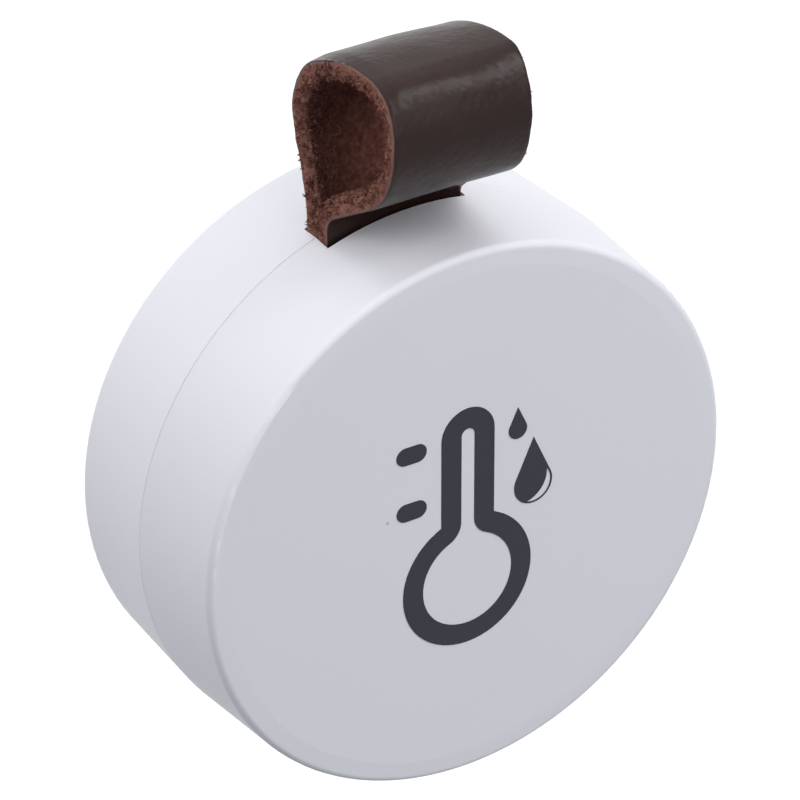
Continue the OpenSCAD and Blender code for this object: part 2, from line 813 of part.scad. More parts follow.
// Round holder with a gap for the positive contact and two gaps for fingers
module battery_holder() {
    top = y_board_r + holder_h;
    color([0.13, 0.13, 0.14])
    difference() {
        union() {
            bar(0, cell_z, holder_r, y_board_r, y_floor);
            translate([0, 0, cell_z])
                turned() {
                    polygon([[holder_in, y_floor - e], [holder_r, y_floor - e], [holder_r, top],
                        [holder_in, top]]);
                    polygon([[holder_in - ledge_w, y_floor - e], [holder_in + e, y_floor - e],
                        [holder_in + e, y_cell_f + cap_out], [holder_in - ledge_w, y_cell_f + cap_out]]);
                }
        }
        block(plus_x, cell_z, 4 * holder_wall, contact_w + 4 * pin_clear, y_board_r - 1, top + 1);
        for (a = finger_angles)
            translate([0, 0, cell_z])
                rotate([0, -a, 0])
                    block(holder_r, 0, 6 * holder_wall, finger_w, y_cell_f + finger_rest, top + 1);
        block(0, minus_z, pin_w + 2 * pin_clear, contact_t + 2 * pin_clear, y_board_r - 1, y_floor + 1);
    }
}

// Spring strip beside the cell, with a tab over its rear face and a pin through the board
module positive_contact() {
    color([0.8, 0.78, 0.72])
    union() {
        block(plus_x, cell_z, contact_t, contact_w, y_board_r, y_cell_r + contact_t);
        block(plus_x + (tab_l - contact_t) / 2, cell_z, tab_l, contact_w, y_cell_r, y_cell_r + contact_t);
        block(plus_x, cell_z, contact_t, pin_w, y_board_f - pin_out, y_board_r + e);
    }
}

// Strip under the cell with a bump at its middle and a pin through the board
module negative_contact() {
    low = cell_z - minus_low;
    high = minus_z + contact_t / 2;
    color([0.8, 0.78, 0.72])
    union() {
        block(0, (low + high) / 2, contact_w, high - low, y_floor, y_floor + contact_t);
        bar(0, cell_z, bump_r, y_floor + contact_t - e, y_floor + contact_t + bump_h);
        block(0, minus_z, pin_w, contact_t, y_board_f - pin_out, y_floor + e);
    }
}

// Steel can of the cell, crimped over at the front
module coin_cell_can() {
    r = cell_r;
    s = cell_sheet;
    front = y_cell_f + cap_out;
    step = can_round * 0.3;
    color([0.76, 0.76, 0.76])
    translate([0, 0, cell_z])
        turned()
            polygon([[0, y_cell_r], [r - can_round, y_cell_r], [r - step, y_cell_r - step],
                [r, y_cell_r - can_round], [r, front], [r - crimp_w, front], [r - crimp_w, front + s],
                [r - s, front + s], [r - s, y_cell_r - can_round], [r - can_round, y_cell_r - s],
                [0, y_cell_r - s]]);
}

// Negative cap of the cell
cap_r = cell_r - crimp_w - seal_t - 2 * cell_slit;
module coin_cell_cap() {
    s = cell_sheet;
    color([0.8, 0.8, 0.79])
    translate([0, 0, cell_z])
        turned()
            polygon([[0, y_cell_f], [cap_r - s, y_cell_f], [cap_r, y_cell_f + s], [cap_r, y_cell_f + cap_h],
                [cap_r - s, y_cell_f + cap_h], [cap_r - s, y_cell_f + s], [0, y_cell_f + s]]);
}

// Seal between the can and the cap
module coin_cell_gasket() {
    r = cap_r + cell_slit;
    in_r = cap_r - cell_sheet;
    out = cell_r - cell_sheet - cell_slit;
    shelf = y_cell_f + cap_out + cell_sheet + cell_slit;
    low = y_cell_f + cap_h + cell_slit;
    color([0.85, 0.85, 0.8])
    translate([0, 0, cell_z])
        turned()
            polygon([[r, y_cell_f + cap_out], [r + seal_t, y_cell_f + cap_out], [r + seal_t, shelf],
                [out, shelf], [out, low + seal_t], [in_r, low + seal_t], [in_r, low], [r, low]]);
}

// Electrodes of the cell
module coin_cell_core() {
    r = cell_r - cell_sheet - 2 * cell_slit;
    in_r = cap_r - cell_sheet - 2 * cell_slit;
    front = y_cell_f + cell_sheet + cell_slit;
    shelf = y_cell_f + cap_h + seal_t + 2 * cell_slit;
    back = y_cell_r - cell_sheet - cell_slit;
    color([0.25, 0.25, 0.26])
    translate([0, 0, cell_z])
        turned()
            polygon([[0, front], [in_r, front], [in_r, shelf], [r, shelf], [r, back - can_round],
                [r - can_round, back], [0, back]]);
}

front_shell();
rear_shell();
front_icon();
strap_loop();
strap_tail();
circuit_board();
board_screws();
radio_chip();
crystal();
trace_antenna();
humidity_sensor();
status_led();
capacitors();
resistors();
switch_body();
switch_frame();
switch_plunger();
switch_dome();
switch_leads();
battery_holder();
positive_contact();
negative_contact();
coin_cell_can();
coin_cell_cap();
coin_cell_gasket();
coin_cell_core();
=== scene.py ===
import math
import random
import bpy
from mathutils import Matrix, Quaternion, Vector, noise


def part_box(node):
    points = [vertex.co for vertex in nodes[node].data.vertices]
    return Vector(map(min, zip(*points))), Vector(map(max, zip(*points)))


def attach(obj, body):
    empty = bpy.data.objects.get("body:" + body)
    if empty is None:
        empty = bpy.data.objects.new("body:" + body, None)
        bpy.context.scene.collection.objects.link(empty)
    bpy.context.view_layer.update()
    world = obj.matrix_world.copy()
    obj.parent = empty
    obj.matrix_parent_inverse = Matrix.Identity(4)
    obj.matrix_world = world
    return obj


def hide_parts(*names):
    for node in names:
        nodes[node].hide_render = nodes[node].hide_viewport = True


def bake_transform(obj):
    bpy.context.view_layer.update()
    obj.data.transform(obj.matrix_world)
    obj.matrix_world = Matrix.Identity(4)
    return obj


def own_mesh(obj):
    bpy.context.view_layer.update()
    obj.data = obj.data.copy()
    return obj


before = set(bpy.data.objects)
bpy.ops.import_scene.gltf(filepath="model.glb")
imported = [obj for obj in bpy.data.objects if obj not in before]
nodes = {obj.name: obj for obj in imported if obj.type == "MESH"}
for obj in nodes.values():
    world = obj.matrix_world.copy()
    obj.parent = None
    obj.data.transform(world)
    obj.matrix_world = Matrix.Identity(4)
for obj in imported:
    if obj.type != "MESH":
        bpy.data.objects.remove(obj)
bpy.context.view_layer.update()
mm = 0.001
print("frame loaded:", len(nodes), "nodes")

# seam between the two halves of the case
case = {"seamY": -8.0 * mm}

# camera of the photograph
camera = {"place": (-131.602, -218.230, 152.985), "aim": (-0.471, -8.0, 5.027), "lens": 200, "sensor": 36,
          "roll": -0.18, "clip": (0.01, 20)}

cameraData = bpy.data.cameras.new("camera")
cameraData.lens = camera["lens"]
cameraData.sensor_width = camera["sensor"]
cameraData.clip_start, cameraData.clip_end = camera["clip"]
cameraObject = bpy.data.objects.new("camera", cameraData)
bpy.context.scene.collection.objects.link(cameraObject)
cameraObject.location = Vector(camera["place"]) * mm
sight = Vector(camera["aim"]) * mm - cameraObject.location
cameraObject.rotation_mode = "QUATERNION"
roll = Quaternion((0, 0, 1), math.radians(camera["roll"]))
cameraObject.rotation_quaternion = sight.to_track_quat("-Z", "Y") @ roll
bpy.context.scene.camera = cameraObject

# pale table a little below the hanging sensor, and soft studio light
studio = {
    "floorZ": -52 * mm, "floorSize": 6.0, "sky": (0.19, 0.197, 0.225), "floorGrey": (0.11, 0.118, 0.143),
    "floorPale": (0.42, 0.42, 0.42), "nearGlow": 0.68, "farGlow": 0.95, "near": 0.15, "far": 0.8,
}
lamps = {
    "keyLamp": {"from": (0.48, -0.58, 0.66), "away": 0.5, "size": (0.1, 0.28), "watts": 1.04},
    "topLamp": {"from": (0.06, 0, 1), "away": 0.6, "size": (0.45, 0.8), "watts": 1.43},
    "leftLamp": {"from": (-0.85, 0.1, 0.5), "away": 0.7, "size": (0.6, 0.6), "watts": 2.46},
    "frontLamp": {"from": (0.2, -0.95, 0.2), "away": 0.8, "size": (0.5, 0.5), "watts": 1.76},
    "backLamp": {"from": (0.1, 0.55, 0.83), "away": 0.7, "size": (0.6, 0.5), "watts": 0.86},
    "rearLamp": {"from": (-0.1, 0.98, 0.12), "away": 0.8, "size": (0.5, 0.36), "watts": 1.9},
}

bpy.context.scene.view_settings.view_transform = "Standard"


def deselectAll():
    for thing in bpy.context.selected_objects:
        thing.select_set(False)


def addNode(tree, kind, place=(0, 0), **sockets):
    made = tree.nodes.new(kind)
    made.location = place
    for name, value in sockets.items():
        made.inputs[name].default_value = value
    return made


def startFinish(name, colour, rough):
    finish = bpy.data.materials.new(name)
    finish.use_nodes = True
    tree = finish.node_tree
    shader = tree.nodes["Principled BSDF"]
    shader.inputs["Base Color"].default_value = (*colour, 1)
    shader.inputs["Roughness"].default_value = rough
    place = addNode(tree, "ShaderNodeTexCoord", (-1400, 0)).outputs["Object"]
    return finish, tree, shader, place


def cloudy(tree, place, scale, detail=3.0, rough=0.55, stretch=None):
    # soft noise whose scale counts features in a metre
    if stretch:
        mapping = addNode(tree, "ShaderNodeMapping", (-1200, 0), Scale=stretch)
        tree.links.new(place, mapping.inputs["Vector"])
        place = mapping.outputs["Vector"]
    made = addNode(tree, "ShaderNodeTexNoise", (-1000, 0), Scale=scale, Detail=detail, Roughness=rough)
    tree.links.new(place, made.inputs["Vector"])
    return made.outputs["Fac"]


def cells(tree, place, scale, feature="F1"):
    made = addNode(tree, "ShaderNodeTexVoronoi", (-1000, -300), Scale=scale)
    made.feature = feature
    tree.links.new(place, made.inputs["Vector"])
    return made


def remap(tree, value, low, high, toLow=0.0, toHigh=1.0, smooth=False):
    made = tree.nodes.new("ShaderNodeMapRange")
    made.interpolation_type = "SMOOTHSTEP" if smooth else "LINEAR"
    for socket, number in zip(("From Min", "From Max", "To Min", "To Max"), (low, high, toLow, toHigh)):
        made.inputs[socket].default_value = number
    tree.links.new(value, made.inputs["Value"])
    return made.outputs["Result"]


def combine(tree, kind, first, second):
    made = tree.nodes.new("ShaderNodeMath")
    made.operation = kind
    for socket, value in zip(made.inputs, (first, second)):
        if isinstance(value, (int, float)):
            socket.default_value = value
        else:
            tree.links.new(value, socket)
    return made.outputs[0]


def tint(tree, amount, first, second):
    # colour that goes from first to second with amount; each may be a colour or a socket
    made = tree.nodes.new("ShaderNodeMix")
    made.data_type = "RGBA"
    tree.links.new(amount, made.inputs[0])
    for socket, value in zip((made.inputs[6], made.inputs[7]), (first, second)):
        if isinstance(value, tuple):
            socket.default_value = (*value, 1)
        else:
            tree.links.new(value, socket)
    return made.outputs[2]


def raised(tree, shader, height, depth, strength=1.0):
    bump = addNode(tree, "ShaderNodeBump", (-300, -400), Strength=strength, Distance=depth)
    tree.links.new(height, bump.inputs["Height"])
    tree.links.new(bump.outputs["Normal"], shader.inputs["Normal"])


def seenRay(tree):
    # 1 for rays that show the background itself: straight, mirrored or through glass
    path = addNode(tree, "ShaderNodeLightPath", (-400, 300))
    total = path.outputs["Is Camera Ray"]
    for other in ("Is Glossy Ray", "Is Transmission Ray"):
        total = combine(tree, "MAXIMUM", total, path.outputs[other])
    return total


def skyLight():
    world = bpy.data.worlds.new("studioSky")
    bpy.context.scene.world = world
    world.use_nodes = True
    tree = world.node_tree
    tree.nodes.clear()
    out = addNode(tree, "ShaderNodeOutputWorld", (600, 0))
    seen = addNode(tree, "ShaderNodeBackground", (200, 100), Color=(1, 1, 1, 1), Strength=1)
    lit = addNode(tree, "ShaderNodeBackground", (200, -100), Color=(*studio["sky"], 1), Strength=1)
    mix = addNode(tree, "ShaderNodeMixShader", (400, 0))
    tree.links.new(seenRay(tree), mix.inputs[0])
    tree.links.new(lit.outputs[0], mix.inputs[1])
    tree.links.new(seen.outputs[0], mix.inputs[2])
    tree.links.new(mix.outputs[0], out.inputs[0])


def floorFinish():
    finish = bpy.data.materials.new("floorPale")
    finish.use_nodes = True
    tree = finish.node_tree
    tree.nodes.clear()
    out = addNode(tree, "ShaderNodeOutputMaterial", (800, 0))
    lit = addNode(tree, "ShaderNodeBsdfDiffuse", (200, -100), Color=(*studio["floorGrey"], 1))
    pale = addNode(tree, "ShaderNodeBsdfDiffuse", (200, 100), Color=(*studio["floorPale"], 1))
    glow = addNode(tree, "ShaderNodeEmission", (200, 250), Color=(1, 1, 1, 1))
    # brighter far away, where the lamps no longer reach
    spot = addNode(tree, "ShaderNodeTexCoord", (-600, 450))
    reach = addNode(tree, "ShaderNodeVectorMath", (-400, 450))
    reach.operation = "LENGTH"
    tree.links.new(spot.outputs["Object"], reach.inputs[0])
    rise = remap(tree, reach.outputs["Value"], studio["near"], studio["far"], studio["nearGlow"], studio["farGlow"])
    tree.links.new(rise, glow.inputs["Strength"])
    both = addNode(tree, "ShaderNodeAddShader", (400, 150))
    mix = addNode(tree, "ShaderNodeMixShader", (600, 0))
    tree.links.new(pale.outputs[0], both.inputs[0])
    tree.links.new(glow.outputs[0], both.inputs[1])
    tree.links.new(seenRay(tree), mix.inputs[0])
    tree.links.new(lit.outputs[0], mix.inputs[1])
    tree.links.new(both.outputs[0], mix.inputs[2])
    tree.links.new(mix.outputs[0], out.inputs[0])
    return finish


deselectAll()
bpy.ops.mesh.primitive_plane_add(size=studio["floorSize"], location=(0, 0, studio["floorZ"]))
floorObject = bpy.context.object
floorObject.name = "floor"
floorObject.data.materials.append(floorFinish())
skyLight()
for name, lamp in lamps.items():
    data = bpy.data.lights.new(name, "AREA")
    data.shape = "RECTANGLE"
    data.size, data.size_y = lamp["size"]
    data.energy = lamp["watts"]
    lampObject = bpy.data.objects.new(name, data)
    bpy.context.scene.collection.objects.link(lampObject)
    toward = Vector(lamp["from"]).normalized()
    lampObject.location = toward * lamp["away"]
    lampObject.rotation_mode = "QUATERNION"
    lampObject.rotation_quaternion = (-toward).to_track_quat("-Z", "Y")
print("studio ready")


def caseWhite():
    # satin moulded plastic with a few specks of dust and faint scuffs
    look = {"white": (0.845, 0.845, 0.885), "cool": (0.825, 0.831, 0.876), "speck": (0.5, 0.47, 0.44),
            "relief": 0.006 * mm,
            "broad": 70, "fine": 5200, "scuff": 420, "dust": 170}  # features in a metre
    finish, tree, shader, place = startFinish("caseWhite", look["white"], 0.42)
    shader.inputs["Specular IOR Level"].default_value = 0.2
    broad = cloudy(tree, place, look["broad"], 2)
    fine = cloudy(tree, place, look["fine"], 2)
    scuffs = remap(tree, cloudy(tree, place, look["scuff"], 2, stretch=(1, 1, 0.12)), 0.70, 0.78)
    dots = cells(tree, place, look["dust"])
    near = remap(tree, dots.outputs["Distance"], 0.012, 0.028, 1, 0)
    rare = addNode(tree, "ShaderNodeSeparateColor")
    tree.links.new(dots.outputs["Color"], rare.inputs[0])
    chosen = remap(tree, rare.outputs[0], 0.80, 0.81)
    specks = combine(tree, "MULTIPLY", combine(tree, "MULTIPLY", near, chosen), 0.75)
    colour = tint(tree, specks, tint(tree, broad, look["white"], look["cool"]), look["speck"])
    tree.links.new(colour, shader.inputs["Base Color"])
    satin = remap(tree, broad, 0.3, 0.7, 0.38, 0.46)
    rough = combine(tree, "ADD", satin, combine(tree, "MULTIPLY", scuffs, 0.12))
    tree.links.new(rough, shader.inputs["Roughness"])
    raised(tree, shader, combine(tree, "ADD", fine, combine(tree, "MULTIPLY", scuffs, 0.6)), look["relief"])
    return finish


def printDark():
    # matt pad print, a little uneven
    finish, tree, shader, place = startFinish("printDark", (0.03, 0.03, 0.04), 0.6)
    shader.inputs["Specular IOR Level"].default_value = 0.22
    blotch = cloudy(tree, place, 900, 4)
    tree.links.new(tint(tree, blotch, (0.026, 0.027, 0.037), (0.042, 0.042, 0.054)), shader.inputs["Base Color"])
    tree.links.new(remap(tree, blotch, 0.3, 0.7, 0.52, 0.68), shader.inputs["Roughness"])
    raised(tree, shader, blotch, 0.004 * mm)
    return finish


def darkPlastic(name, colour, rough):
    # moulded dark plastic of the chips, the holder and the switch
    finish, tree, shader, place = startFinish(name, colour, rough)
    blotch = cloudy(tree, place, 300, 3)
    grit = cloudy(tree, place, 9000, 2)
    lighter = tuple(min(1, c * 1.7 + 0.004) for c in colour)
    tree.links.new(tint(tree, blotch, colour, lighter), shader.inputs["Base Color"])
    tree.links.new(remap(tree, blotch, 0.3, 0.7, rough - 0.06, rough + 0.08), shader.inputs["Roughness"])
    raised(tree, shader, grit, 0.008 * mm)
    return finish


def sheetMetal(name, colour, rough, stretch):
    # rolled metal with fine lines along the sheet and faint stains
    finish, tree, shader, place = startFinish(name, colour, rough)
    shader.inputs["Metallic"].default_value = 1
    lines = cloudy(tree, place, 5000, 3, stretch=stretch)
    stain = cloudy(tree, place, 260, 4)
    duller = tuple(c * 0.8 for c in colour)
    tree.links.new(tint(tree, remap(tree, stain, 0.4, 0.75), colour, duller), shader.inputs["Base Color"])
    tree.links.new(remap(tree, lines, 0.25, 0.75, rough - 0.1, rough + 0.12), shader.inputs["Roughness"])
    raised(tree, shader, lines, 0.003 * mm)
    return finish


def boardGreen():
    # green mask over copper: the tracks show as slightly raised lighter lines
    finish, tree, shader, place = startFinish("boardGreen", (0.012, 0.11, 0.05), 0.35)
    weave = cloudy(tree, place, 2600, 2)
    tracks = cells(tree, place, 420, "DISTANCE_TO_EDGE")
    line = remap(tree, tracks.outputs["Distance"], 0.05, 0.08, 1, 0)
    tree.links.new(tint(tree, line, (0.01, 0.085, 0.04), (0.02, 0.16, 0.07)), shader.inputs["Base Color"])
    raised(tree, shader, combine(tree, "ADD", line, combine(tree, "MULTIPLY", weave, 0.3)), 0.02 * mm)
    return finish


def speckled(name, colour, other, rough, scale):
    # fired ceramic and cast resin
    finish, tree, shader, place = startFinish(name, colour, rough)
    grains = cloudy(tree, place, scale, 4)
    tree.links.new(tint(tree, remap(tree, grains, 0.35, 0.65), colour, other), shader.inputs["Base Color"])
    tree.links.new(remap(tree, grains, 0.3, 0.7, rough - 0.08, rough + 0.08), shader.inputs["Roughness"])
    raised(tree, shader, grains, 0.005 * mm)
    return finish


finishes = {
    "case_white": caseWhite(),
    "print_dark": printDark(),
    "board_green": boardGreen(),
    "screw_steel": sheetMetal("screwSteel", (0.62, 0.62, 0.63), 0.32, (1, 0.1, 1)),
    "chip_black": darkPlastic("chipBlack", (0.016, 0.016, 0.018), 0.55),
    "crystal_metal": sheetMetal("crystalMetal", (0.66, 0.64, 0.58), 0.3, (0.1, 1, 1)),
    "track_gold": sheetMetal("trackGold", (0.78, 0.55, 0.25), 0.28, (0.1, 1, 1)),
    "led_white": speckled("lampResin", (0.9, 0.86, 0.62), (0.86, 0.8, 0.5), 0.25, 2500),
    "capacitor_tan": speckled("capacitorTan", (0.42, 0.3, 0.18), (0.34, 0.23, 0.13), 0.4, 3000),
    "resistor_black": speckled("resistorBlack", (0.03, 0.03, 0.034), (0.05, 0.05, 0.055), 0.4, 3000),
    "switch_black": darkPlastic("switchBlack", (0.02, 0.02, 0.022), 0.4),
    "switch_metal": sheetMetal("switchMetal", (0.68, 0.67, 0.64), 0.3, (1, 1, 0.1)),
    "holder_black": darkPlastic("holderBlack", (0.017, 0.017, 0.019), 0.48),
    "contact_nickel": sheetMetal("contactNickel", (0.72, 0.68, 0.58), 0.25, (1, 1, 0.1)),
    "cell_steel": sheetMetal("cellSteel", (0.7, 0.7, 0.69), 0.27, (0.08, 1, 1)),
    "gasket_clear": speckled("gasketClear", (0.75, 0.75, 0.7), (0.66, 0.66, 0.6), 0.35, 1500),
    "electrode_grey": speckled("electrodeGrey", (0.07, 0.07, 0.075), (0.12, 0.12, 0.125), 0.75, 4000),
}
for thing in nodes.values():
    slotName = thing.data.materials[0].name
    if slotName in finishes:
        thing.data.materials[0] = finishes[slotName]
print("finishes on the solids")

# leather strip: both ends clamped in the case, open loop above it
strap = {
    "width": 10.0, "thick": 1.32, "gap": 0.06, "middleX": -1.55, "tailZ": 13.7, "bendZ": 19.7,
    "footR": 2.2, "footSlope": 31.5, "bellyR": 5.7, "crownFrom": 105, "crownR": 2.05, "topFrom": 175,
    "topR": 11.5, "backFrom": 206, "backR": 4.85, "heelSlope": 278.7, "heelR": 8.0,
    "edgeRound": 0.14, "cutsAcross": 47, "cutsThick": 4, "longSide": 5, "shortSide": 0.6, "step": 0.25,
    "outside": (19.6, 21.4),  # heights between which the strip comes out of the slot
    "leanTop": -0.4, "lean": (20.0, 28.0), "roughness": 0.07, "edgeWander": 0.07, "sway": 0.05,
    "innerCorner": 0.34, "crownLift": 0.18, "neckPinch": 0.2, "pinched": (19.6, 21.8),
    "neckClose": 0.026, "closed": (21.5, 23), "wrap": 0.16, "wrapY": (-13.0, -9.5), "wrapZ": (23.5, 26.0),
    "rightBulges": ((12, 20, 0.27), (62, 18, -0.11), (128, 22, 0.14)),  # angle from the top, spread, height
    "furWaves": (2.3, 5.1), "edgeWaves": (1.1, 3.7),  # broad and fine noise, waves in a millimetre
    "pegX": (-4.15, 1.05), "pegZ": 15.8, "pegHoleR": 0.9, "softFrom": 19.4, "softTo": 22.5,
}


def arcMove(radius, start, stop):
    a, b = math.radians(start), math.radians(stop)
    side = 1 if stop > start else -1
    return Vector((side * radius * (math.sin(b) - math.sin(a)), side * radius * (math.cos(a) - math.cos(b))))


def heading(angle):
    return Vector((math.cos(math.radians(angle)), math.sin(math.radians(angle))))


def selectAllVerts():
    bpy.ops.mesh.select_all(action="SELECT")


def layStrip():
    s = strap
    middle = (s["thick"] + s["gap"]) / 2
    arcs = [(s["footR"], 90, s["footSlope"]), (s["bellyR"], s["footSlope"], s["crownFrom"]),
            (s["crownR"], s["crownFrom"], s["topFrom"]), (s["topR"], s["topFrom"], s["backFrom"]),
            (s["backR"], s["backFrom"], s["heelSlope"]), (s["heelR"], s["heelSlope"], 270)]
    # the two straight stretches that bring the loop back to the slot; 90 is straight up and 270 straight down
    need = Vector((-2 * middle, 0)) - sum((arcMove(*arc) for arc in arcs), Vector((0, 0)))
    under, behind = heading(s["footSlope"]), heading(s["heelSlope"])
    cross = under.x * behind.y - behind.x * under.y
    underLength = (need.x * behind.y - need.y * behind.x) / cross
    behindLength = (under.x * need.y - under.y * need.x) / cross

    deselectAll()
    bpy.ops.mesh.primitive_plane_add(size=mm, location=(0, 0, 0))
    strip = bpy.context.object
    strip.name = "leatherStrip"
    bpy.ops.object.mode_set(mode="EDIT")
    bpy.ops.transform.resize(value=(s["width"], s["thick"], 1), center_override=(0, 0, 0))
    bpy.ops.mesh.bevel(offset=s["edgeRound"] * mm, affect="VERTICES", segments=3)
    bpy.ops.mesh.delete(type="ONLY_FACE")
    for cuts, isLong in ((s["cutsAcross"], True), (s["cutsThick"], False)):
        pickEdges(strip, lambda edge: longEdge(strip, edge, isLong))
        bpy.ops.mesh.subdivide(number_cuts=cuts)
    selectAllVerts()
    start = (s["middleX"] * mm, case["seamY"] - middle * mm, s["tailZ"] * mm)
    bpy.ops.transform.translate(value=start)
    count = markLanes(strip, start)

    place = Vector((middle, s["tailZ"]))
    place = runStraight(place, 90, s["bendZ"] - s["tailZ"])
    # a straight stretch follows the foot and another the back
    for index, arc in enumerate(arcs):
        place = runArc(place, *arc)
        if index == 0:
            place = runStraight(place, s["footSlope"], underLength)
        if index == 4:
            place = runStraight(place, s["heelSlope"], behindLength)
    runStraight(place, 270, s["bendZ"] - s["tailZ"])
    bpy.ops.object.mode_set(mode="OBJECT")
    return strip, count


def longEdge(thing, edge, isLong):
    ends = [thing.data.vertices[i].co for i in edge.vertices]
    span = abs(ends[0].x - ends[1].x)
    tall = abs(ends[0].y - ends[1].y)
    return span > strap["longSide"] * mm if isLong else tall > strap["shortSide"] * mm


def pickEdges(thing, wanted):
    bpy.ops.mesh.select_all(action="DESELECT")
    bpy.ops.object.mode_set(mode="OBJECT")
    for edge in thing.data.edges:
        edge.select = wanted(edge)
    bpy.ops.object.mode_set(mode="EDIT")
    bpy.ops.mesh.select_mode(type="EDGE")


def markLanes(thing, start):
    # across runs from 0 at the left cut edge to 1 at the right, depth from 0 at the rough side to 1 at the grain
    bpy.ops.object.mode_set(mode="OBJECT")
    across = thing.data.attributes.new("across", "FLOAT", "POINT")
    depth = thing.data.attributes.new("depth", "FLOAT", "POINT")
    for vertex in thing.data.vertices:
        across.data[vertex.index].value = (vertex.co.x - start[0]) / (strap["width"] * mm) + 0.5
        depth.data[vertex.index].value = 0.5 - (vertex.co.y - start[1]) / (strap["thick"] * mm)
    bpy.ops.object.mode_set(mode="EDIT")
    selectAllVerts()
    return len(thing.data.vertices)


def runStraight(place, angle, length):
    steps = max(1, round(length / strap["step"]))
    move = heading(angle) * length / steps
    for _ in range(steps):
        bpy.ops.mesh.extrude_edges_move(TRANSFORM_OT_translate={"value": (0, -move.x * mm, move.y * mm)})
    return place + move * steps


def runArc(place, radius, start, stop):
    side = 1 if stop > start else -1
    a = math.radians(start)
    centre = place + side * radius * Vector((-math.sin(a), math.cos(a)))
    turn = math.radians(stop - start)
    steps = max(3, round(abs(turn) * (radius + strap["thick"] / 2) / strap["step"]))
    bpy.ops.mesh.spin(steps=steps, angle=turn, center=(0, case["seamY"] - centre.x * mm, centre.y * mm),
                      axis=(1, 0, 0))
    return place + arcMove(radius, start, stop)


stripObject, laneCount = layStrip()
pointCount = len(stripObject.data.vertices)
print("strip laid:", pointCount, "points in", pointCount // laneCount, "rings")


def easeStep(value, low, high):
    t = min(1, max(0, (value - low) / (high - low)))
    return t * t * (3 - 2 * t)


def wrapGrain(strip):
    # behind the loop the dark finish reaches a little round the cut edge
    depth = strip.data.attributes["depth"].data
    for vertex in strip.data.vertices:
        behind = easeStep(vertex.co.y / mm, *strap["wrapY"]) * easeStep(vertex.co.z / mm, *strap["wrapZ"])
        depth[vertex.index].value = min(1, depth[vertex.index].value * (1 + strap["wrap"] * behind))


def mixedNoise(spot, broad, fine):
    return 0.6 * noise.noise(spot * broad) + 0.4 * noise.noise(spot * fine)


def roughen(strip, count):
    # small uneven moves of leather: it leans, sways, has a furry rough side and cut edges that wander;
    # the limits for across and depth are shares of its width and thickness
    mesh = strip.data
    across = [item.value for item in mesh.attributes["across"].data]
    depth = [item.value for item in mesh.attributes["depth"].data]
    rings = [[mesh.vertices[k].co.copy() for k in range(start, start + count)]
             for start in range(0, len(mesh.vertices), count)]
    middles = [sum(ring, Vector()) / count for ring in rings]
    for index, middle in enumerate(middles):
        ahead = middles[min(index + 1, len(middles) - 1)] - middles[max(index - 1, 0)]
        outward = Vector((0, -ahead.z, ahead.y)).normalized()
        outward = outward if index else Vector((0, -1, 0))
        outside = easeStep(middle.z / mm, *strap["outside"])
        for k in range(index * count, (index + 1) * count):
            vertex = mesh.vertices[k]
            spot = vertex.co / mm
            move = Vector()
            furry = 1 - easeStep(depth[k], 0.1, 0.75)
            move -= outward * furry * strap["roughness"] * outside * mixedNoise(spot, *strap["furWaves"])
            end = easeStep(abs(across[k] - 0.5), 0.47, 0.5)
            worn = easeStep(abs(across[k] - 0.5), 0.44, 0.5) * (1 - easeStep(depth[k], 0.0, 0.7)) * outside
            inward = 1 if across[k] < 0.5 else -1
            move.x += inward * worn * strap["innerCorner"] * (0.75 + 0.8 * noise.noise(spot * 1.7))
            move.x += end * outside * strap["edgeWander"] * mixedNoise(spot, *strap["edgeWaves"])
            move += outward * strap["sway"] * outside * noise.noise(spot * 0.28 + Vector((3, 7, 1)))
            move.x += strap["leanTop"] * easeStep(spot.z, *strap["lean"])
            # the crown is fuller in the middle, and the right end is less evenly bent than the left
            onTop = easeStep(outward.z, 0.3, 0.9) * outside
            fuller = easeStep(across[k], 0, 0.12) * (1 - easeStep(across[k], 0.5, 1.05))
            move.z += strap["crownLift"] * onTop * fuller
            facing = math.degrees(math.atan2(-outward.y, outward.z))
            bulge = sum(height * math.exp(-((facing - at) / spread) ** 2)
                        for at, spread, height in strap["rightBulges"])
            move += outward * bulge * outside * easeStep(across[k], 0.6, 1)
            # at the slot the two layers are pressed together
            low = 1 - easeStep(spot.z, *strap["closed"])
            move -= outward * strap["neckClose"] * low * (1 - easeStep(depth[k], 0, 0.3))
            if index < len(rings) / 2:
                move.y += strap["neckPinch"] * depth[k] * (1 - easeStep(spot.z, *strap["pinched"]))
            vertex.co += move * mm


